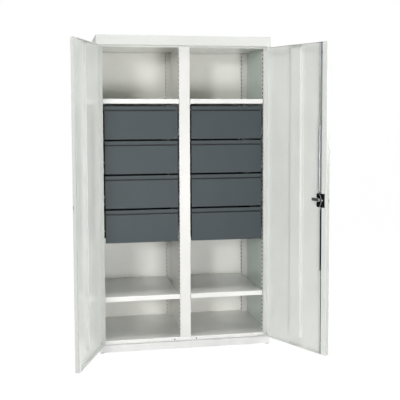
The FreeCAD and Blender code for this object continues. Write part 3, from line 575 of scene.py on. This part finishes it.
place(surface("key_collar", turned_piece(spindle, outward, collar), bright, around=True, along=True),
      "handle", "bright_metal")

# %% [markdown]
# ## The cover over the lock
# The cam and the ends of the rods lie under a moulded cover, a shallow box with soft edges and a wedge cut
# into its hinge side, through which the bolt's tail runs and the zinc cam shows. Its outline is a short list
# of corners, each rounded by a curve that leaves one side and joins the next. The same outline, drawn in by
# a little at each level, gives the rounded rim outside and the hollow inside. Where the rods and the tail
# pass, the wall stops short of the door.

# %% Lock cover
def rounded_outline(corners, radii, steps=8, count=240):
    """Each corner becomes (1-t)^2 start + 2t(1-t) corner + t^2 end; the loop is cut into equal steps."""
    corners, radii = np.array(corners, float), np.array(radii, float)[:, None]
    before, after = np.roll(corners, 1, 0) - corners, np.roll(corners, -1, 0) - corners
    start = corners + before / np.linalg.norm(before, axis=1, keepdims=True) * radii
    end = corners + after / np.linalg.norm(after, axis=1, keepdims=True) * radii
    t = np.linspace(0, 1, steps)[None, :, None]
    curves = (1 - t) ** 2 * start[:, None] + 2 * t * (1 - t) * corners[:, None] + t ** 2 * end[:, None]
    loop = curves.reshape(-1, 2)
    loop = np.vstack([loop, loop[:1]])
    run = np.concatenate([[0.0], np.cumsum(np.linalg.norm(np.diff(loop, axis=0), axis=1))])
    even = np.linspace(0, run[-1], count, endpoint=False)
    return np.column_stack([np.interp(even, run, loop[:, 0]), np.interp(even, run, loop[:, 1])])


def drawn_in(outline, inset):
    """The outline moved to its inside by a distance, square to the chord between the neighbouring points."""
    ahead = np.roll(outline, -1, 0) - np.roll(outline, 1, 0)
    ahead = ahead / np.linalg.norm(ahead, axis=1, keepdims=True)
    return outline + inset * np.column_stack([-ahead[:, 1], ahead[:, 0]])


# The outline's corners as places across and up the door, with how far each is rounded.
corners = [(0.497, 0.867), (0.497, 0.943), (0.4325, 0.943), (0.4325, 0.9195), (0.459, 0.9125),
           (0.4605, 0.9005), (0.4325, 0.8945), (0.4325, 0.867)]
outline = rounded_outline(corners, [0.003, 0.003, 0.009, 0.003, 0.002, 0.002, 0.003, 0.009])
short_wall, full_wall = 0.0155, 0.0015
rise = np.abs(outline[:, 1] - lock_height)
beside_tail = (rise < 0.017) & (outline[:, 0] < 0.47)
over_rods = (rise > 0.03) & (outline[:, 0] < 0.478)
foot = np.where(beside_tail | over_rods, short_wall, full_wall)
# Each level is how far the outline is drawn in, and how deep inside the door it lies.
levels = [(0.0026, 0.0229), (0.0016, 0.0226), (0.0016, foot), (0.0, foot), (0.0, 0.0226), (0.0002, 0.0234),
          (0.0008, 0.0242), (0.0018, 0.0245)]
rings = []
for inset, level in levels:
    across, height = drawn_in(outline, inset).T
    rings.append(on_door("right", across, level, height))
cover = surface("lock_cover", np.array(rings), black, around=True, capped=True)
place(cover, "right_door", "black_plastic", "lock_case")

# %% [markdown]
# ## Spring and screw on the lock's cover
# Inside the right door a bowed steel spring lies across the black cover and shows as a thin bright curve,
# with one pan-head screw beside it. The spring is a round wire along half a sine wave. The screw is turned
# from a profile: a low dome with a dimple for the driver.

# %% Lock spring and screw
spring_across, spring_bow, spring_depth = 0.4562, 0.0143, 0.02535
spring_top, spring_length, wire_radius = 0.9428, 0.0766, 0.0009
screw_across, screw_depth, screw_height = 0.478, 0.0245, 0.906
share = np.linspace(0, 1, 40)
wire = on_door("right", spring_across + spring_bow * np.sin(math.pi * share), spring_depth,
               spring_top - spring_length * share)
thickness = np.concatenate([[0.0], np.full(len(share) - 2, wire_radius), [0.0]])
place(surface("lock_spring", drawn_piece(wire, thickness), zinc, around=True), "right_door", "zinc_steel")
dome = [(0, -0.0003), (0.004, -0.0003), (0.0041, 0.0004), (0.0037, 0.0011), (0.0028, 0.0017),
        (0.0018, 0.0019), (0.0015, 0.0016), (0.0013, 0.0009), (0, 0.0009)]
screw = turned_piece(on_door("right", screw_across, screw_depth, screw_height), -outward, dome, 24)
place(surface("lock_screw", screw, bright, around=True), "right_door", "bright_metal")

# %% [markdown]
# ## Channels on the lock rods
# A flat rod two feet long would bend when the cam pushes it, so each rod carries a folded channel on its
# face, from the lock's cover to just short of the guide. The channel is a low arch in section: straight
# sides and a rounded back. The arch is carried along the rod, and its height runs out to a low step at the
# ends, by a smooth curve of the distance from the nearer end.

# %% Rod channels
def channel(middle, low, high, depth, half=0.0075, back=0.0136, fade=0.012, rows=64, columns=18):
    """Half width times a squared-off cosine across, and depth times a squared-off sine up from the rod."""
    squareness, step = 0.35, 0.12
    a = np.linspace(0, math.pi, columns)[None, :]
    z = (low + (high - low) * (1 - np.cos(np.linspace(0, math.pi, rows))) / 2)[:, None]
    end = np.clip(np.minimum(z - low, high - z) / fade, 0, 1)
    tall = depth * (step + (1 - step) * (3 * end ** 2 - 2 * end ** 3))
    c, s = np.cos(a), np.sin(a)
    u = middle + half * np.sign(c) * np.abs(c) ** squareness
    return on_door("right", u, back + tall * s ** squareness, z)


# How far a rod moves, the room left beyond that, and the gap at the cover.
rod_travel, clear, gap = 0.0181, 0.003, 0.0006
guide_z = points_of("rod_guides")[:, 2]
cover_low, cover_high = (corner[2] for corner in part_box("lock_case"))
upper = (cover_high + gap, guide_z[guide_z > cover_high].min() - rod_travel - clear)
lower = (guide_z[guide_z < cover_low].max() + rod_travel + clear, cover_low - gap)
print("channels from", [tuple(round(float(z), 4) for z in way) for way in (upper, lower)])
for word, material, slot, middle, way, depth in (
        ("upper", zinc, "zinc_steel", 0.4431, upper, 0.0044),
        ("lower", near_black, "dark_steel", 0.4649, lower, 0.0098)):
    piece = surface(word + "_rod_channel", channel(middle, *way, depth), material, around=True, capped=True)
    place(piece, word + "_rod", slot)

# %% [markdown]
# ## Rolled rims on the drawer trays
# The top edge of each tray is rolled over so that it can't cut a hand. It is the same small circle carried
# round all four walls, with tight turns at the corners, so one function makes all eight from the trays'
# own boxes.

# %% Tray rims
def round_box(low, high, level, corner, steps=5):
    """A closed path round a rectangle with quarter circles at its corners."""
    centres = np.array([[high[0] - corner, high[1] - corner], [low[0] + corner, high[1] - corner],
                        [low[0] + corner, low[1] + corner], [high[0] - corner, low[1] + corner]])
    angle = (np.arange(4) * math.pi / 2)[:, None] + np.linspace(0, math.pi / 2, steps)[None, :]
    flat = centres[:, None] + corner * np.stack([np.cos(angle), np.sin(angle)], -1)
    return np.column_stack([flat.reshape(-1, 2), np.full(4 * steps, level)])


# The slide's room beside a tray, half its wall, the rim's turn at a corner, and the rim's own radius.
tray_to_runner, wall_middle, corner_radius, rim_radius = 0.012, 0.0009, 0.0022, 0.0016
for side in ("left", "right"):
    for number in range(1, 5):
        node = "%s_drawer_%d_tray" % (side, number)
        low, high = (np.array(corner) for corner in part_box(node))
        low[0], high[0] = low[0] + tray_to_runner, high[0] - tray_to_runner
        path = round_box(low[:2] + wall_middle, high[:2] - wall_middle, high[2], corner_radius)
        rim = surface("%s_tray_%d_rim" % (side, number), drawn_piece(path, rim_radius, 8, True),
                      nodes[node].data.materials[0], around=True, along=True)
        place(rim, "%s_drawer_%d" % (side, number), "drawer_paint")

# %% [markdown]
# ## Sheets that close the posts
# Each post is a channel folded from one sheet. A second, shallow channel slides into its open side and
# makes it a box, so the slots look into a closed dark space; it is coated near black, as primer and painted
# shade. It is a strip with two short arms, drawn in plan and carried up the post.

# %% Post closers
# The sheet's thickness, the play beside it, and the length of its arms.
sheet, play, arm = 0.001, 0.0018, 0.008
for name in [name for name in nodes if name.endswith("post")]:
    (x0, _, z0), (x1, y1, z1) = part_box(name)
    a, b, rear = x0 + play, x1 - play, y1 - sheet
    plan = np.array([
        (a, rear - arm), (a + sheet, rear - arm), (a + sheet, rear - sheet), (b - sheet, rear - sheet),
        (b - sheet, rear - arm), (b, rear - arm), (b, rear), (a, rear)])
    grid = np.array([np.column_stack([plan, np.full(len(plan), z)]) for z in (z0 + sheet, z1 - sheet)])
    # The closer is coated near black, as primer and painted shade, so that the slots look dark.
    closer = surface(name + "_closer", grid, primer_and_shade_coat, around=True, smooth=False, capped=True)
    place(closer, "carcass", "dark_steel")

# %% [markdown]
# ## Door buffers
# Two soft pads on the floor rail take up the doors as they close. Each is a dome on a short collar.

# %% Door buffers
low, high = (np.array(corner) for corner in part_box("door_buffers"))
reach, radius, level = high[1] - low[1], (high[2] - low[2]) / 2, (high[2] + low[2]) / 2
# The dome's profile, in shares of its radius and its height.
shares = [(0, 0), (1, 0), (1, 0.3), (0.94, 0.42), (0.86, 0.62), (0.68, 0.82), (0.4, 0.95), (0, 1)]
pad = np.array(shares) * (radius, reach)
for word, x in (("left", low[0] + radius), ("right", high[0] - radius)):
    grid = turned_piece(np.array([x, high[1], level]), np.array([0, -1.0, 0]), pad, 20)
    place(surface(word + "_door_buffer", grid, rubber, around=True), "carcass", "black_rubber")
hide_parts("door_buffers")

# %% [markdown]
# ## Floor, backdrop and light
# The cupboard stands in a white studio. The floor runs back and curves up into a wall, so that no line
# shows behind it. The camera and anything shiny see it as white, which Light Path's ray kinds allow
# without pouring more light on the paint, and a share of plain diffuse keeps the soft shadow on the floor.
# The light is that of a studio with white boards: a key lamp far out at the left front, a low board that
# throws light back up from the floor, a board on either side, and a large one overhead. The world is white to
# the eye as well, but gives the paint hardly any light of its own.

# %% Floor and backdrop
def seen_white(start):
    """One where a camera, a glossy or a transmitted ray looks, and nought for the light that paint gets."""
    camera_ray, glossy, transmitted = (start.node("LightPath", output="Is %s Ray" % kind)
                                       for kind in ("Camera", "Glossy", "Transmission"))
    return camera_ray.most(glossy).most(transmitted)


glow_strength, glow_share = 1.05, 0.93
studio, shader, start = principled("studio_white")
fleck = noise(start.node("TexCoord", output="Object"), 3.0, 2.0)
pale = fleck.ramp(0.3, 0.7).blend(rgb(0.80, 0.80, 0.80), rgb(0.84, 0.84, 0.84))
feed(shader, start, Base_Color=pale, Roughness=0.9)
glow = start.node("Emission", None, {"Color": rgb(1, 1, 1), "Strength": glow_strength})
mixed = start.node("MixShader", None, {
    0: seen_white(start) * glow_share, 1: Value(start.tree, shader.outputs[0]), 2: glow})
start.tree.links.new(mixed.socket, studio.node_tree.nodes["Material Output"].inputs["Surface"])

# The sweep's half width, its front edge, where it starts to rise, the radius of the bend, and its top.
half, front, rear, bend, top = 9.0, -9.0, 4.0, 2.0, 9.0
turn = np.linspace(0, math.pi / 2, 16)
curve = np.column_stack([rear + bend * np.sin(turn), bend - bend * np.cos(turn)])
profile = np.vstack([[[front, 0.0], [rear, 0.0]], curve, [[rear + bend, top]]])
wide = np.array([-half, half])
sweep = np.stack(np.broadcast_arrays(wide[None, :], profile[:, :1], profile[:, 1:]), -1)
floor = surface("studio_floor", sweep, studio)
print("floor", len(floor.data.polygons), "faces")

# %% Lamps
world_on_paint, world_seen, cupboard_middle = 0.03, 1.0, np.array([0.0, 0.0, 0.9])
world = bpy.data.worlds.new("studio")
world.use_nodes = True
bpy.context.scene.world = world
sky = world.node_tree.nodes["Background"]
strength = seen_white(Value(world.node_tree)).ramp(0.0, 1.0, world_on_paint, world_seen)
world.node_tree.links.new(strength.socket, sky.inputs["Strength"])
sky.inputs["Color"].default_value = rgb(1, 1, 1)


def lamp(name, spot, size, watts):
    """A square soft lamp that faces the middle of the cupboard."""
    data = bpy.data.lights.new(name, "AREA")
    data.shape, data.size, data.energy = "SQUARE", size, watts
    made = bpy.data.objects.new(name, data)
    bpy.context.scene.collection.objects.link(made)
    back = np.array(spot) - cupboard_middle
    back = back / np.linalg.norm(back)
    side = np.cross(upward, back)
    side = side / np.linalg.norm(side)
    turn = Matrix(np.column_stack([side, np.cross(back, side), back]).tolist()).to_4x4()
    made.matrix_world = Matrix.Translation(spot) @ turn


lamp("key", (-4.0, -9.0, 2.6), 0.9, 216)
lamp("low_fill", (0.3, -6.0, 0.35), 1.2, 136)
lamp("right_side", (4.2, -2.2, 2.0), 2.0, 98)
lamp("left_fill", (-3.8, -3.4, 2.2), 2.0, 22)
lamp("overhead", (0.0, -1.0, 5.0), 3.0, 115)
bpy.context.scene.view_settings.view_transform = "Standard"
